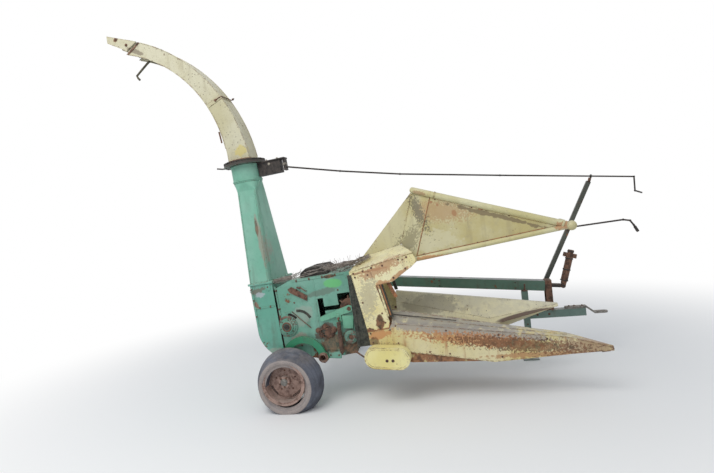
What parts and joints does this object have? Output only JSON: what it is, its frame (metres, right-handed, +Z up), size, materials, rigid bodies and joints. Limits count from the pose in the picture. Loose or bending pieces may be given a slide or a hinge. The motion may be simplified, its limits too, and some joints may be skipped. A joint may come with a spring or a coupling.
{
  "type": "pull-type forage harvester",
  "caption": "Weathered pull-type forage harvester with one-row gathering head, funnel hood, cutterhead body, tall discharge pipe with turning spout, offset drawbar and folding drive shaft.",
  "frame": {"origin": "centre of the hitch pin hole in the drawbar's strap", "axes": "+X forward along the drawbar, +Y to the machine's left, +Z up from a level floor"},
  "size_m": [5.2608, 2.176, 3.8355],
  "materials": {
    "green_paint": "weathered",
    "pale_green_paint": "weathered",
    "yellow_paint": "weathered",
    "rusty_steel": "rusty",
    "dark_steel": "dirty",
    "tyre_rubber": "dusty"
  },
  "bodies": {
    "chassis": {"near_side_plate": "green_paint", "far_side_plate": "green_paint", "floor_pan": "green_paint", "top_cover": "green_paint", "top_hood": "dark_steel", "rear_housing": "green_paint", "blower_pipe": "green_paint", "worm_bracket": "dark_steel", "cutter_bearings": "dark_steel", "roll_bearings": "green_paint", "roll_arm": "pale_green_paint", "roll_spring": "rusty_steel", "feed_drive": "rusty_steel", "sharpener_handle": "rusty_steel", "axle_tube": "rusty_steel", "near_crank_arm": "green_paint", "far_crank_arm": "green_paint", "main_gearbox": "green_paint", "drive_guard": "green_paint", "drawbar": "green_paint", "hitch_strap": "rusty_steel", "shaft_shield": "green_paint", "drive_shaft": "dark_steel", "shaft_stand": "rusty_steel", "mast": "dark_steel", "spout_crank_rod": "dark_steel", "shift_lever": "dark_steel", "jack_sleeve": "green_paint", "near_head_post": "yellow_paint", "far_head_post": "yellow_paint", "head_top": "yellow_paint", "head_bars": "rusty_steel", "near_gather_frame": "rusty_steel", "far_gather_frame": "rusty_steel", "near_snout": "yellow_paint", "far_snout": "yellow_paint", "gearcase_cover": "yellow_paint", "near_hood_panel": "yellow_paint", "far_hood_panel": "yellow_paint", "hood_gusset": "yellow_paint"},
    "near_wheel": {"near_rim": "green_paint", "near_tyre": "tyre_rubber"},
    "far_wheel": {"far_rim": "green_paint", "far_tyre": "tyre_rubber"},
    "spout_head": {"spout_ring": "dark_steel", "spout_foot": "yellow_paint", "spout": "yellow_paint"},
    "flap": {"deflector_flap": "yellow_paint"},
    "jack_foot": {"jack_leg": "green_paint"},
    "cutter": {"cutterhead": "dark_steel"},
    "upper_roll": {"upper_feed_roll": "rusty_steel"},
    "lower_roll": {"lower_feed_roll": "rusty_steel"},
    "pto_shaft": {"pto_half_shaft": "rusty_steel"}
  },
  "joints": [
    {"name": "near_wheel_spin", "type": "hinge", "parent": "chassis", "child": "near_wheel", "pos_m": [-3.092, -1.32, -0.1583], "axis": [0, 1, 0], "continuous": true},
    {"name": "far_wheel_spin", "type": "hinge", "parent": "chassis", "child": "far_wheel", "pos_m": [-3.092, 0.62, -0.1583], "axis": [0, 1, 0], "continuous": true},
    {"name": "spout_turn", "type": "hinge", "parent": "chassis", "child": "spout_head", "pos_m": [-3.41461, -0.95, 1.93868], "axis": [-0.0698, 0, 0.9976], "range_deg": [-110, 110]},
    {"name": "flap_tilt", "type": "hinge", "parent": "spout_head", "child": "flap", "pos_m": [-4.49078, -0.95, 3.26571], "axis": [0, 1, 0], "range_deg": [-55, 5]},
    {"name": "jack_slide", "type": "slide", "parent": "chassis", "child": "jack_foot", "axis": [0, 0, 1], "range_m": [0, 0.24]},
    {"name": "cutter_spin", "type": "hinge", "parent": "chassis", "child": "cutter", "pos_m": [-3.09452, -0.85, 0.30002], "axis": [0, 1, 0], "continuous": true},
    {"name": "upper_roll_spin", "type": "hinge", "parent": "chassis", "child": "upper_roll", "pos_m": [-2.46727, -0.85, 0.4331], "axis": [0, 1, 0], "continuous": true},
    {"name": "lower_roll_spin", "type": "hinge", "parent": "chassis", "child": "lower_roll", "pos_m": [-2.47473, -0.85, 0.16693], "axis": [0, 1, 0], "continuous": true},
    {"name": "pto_fold", "type": "hinge", "parent": "chassis", "child": "pto_shaft", "pos_m": [-0.378, 0, 0.30506], "axis": [0, 1, 0], "range_deg": [0, 72]}
  ]
}
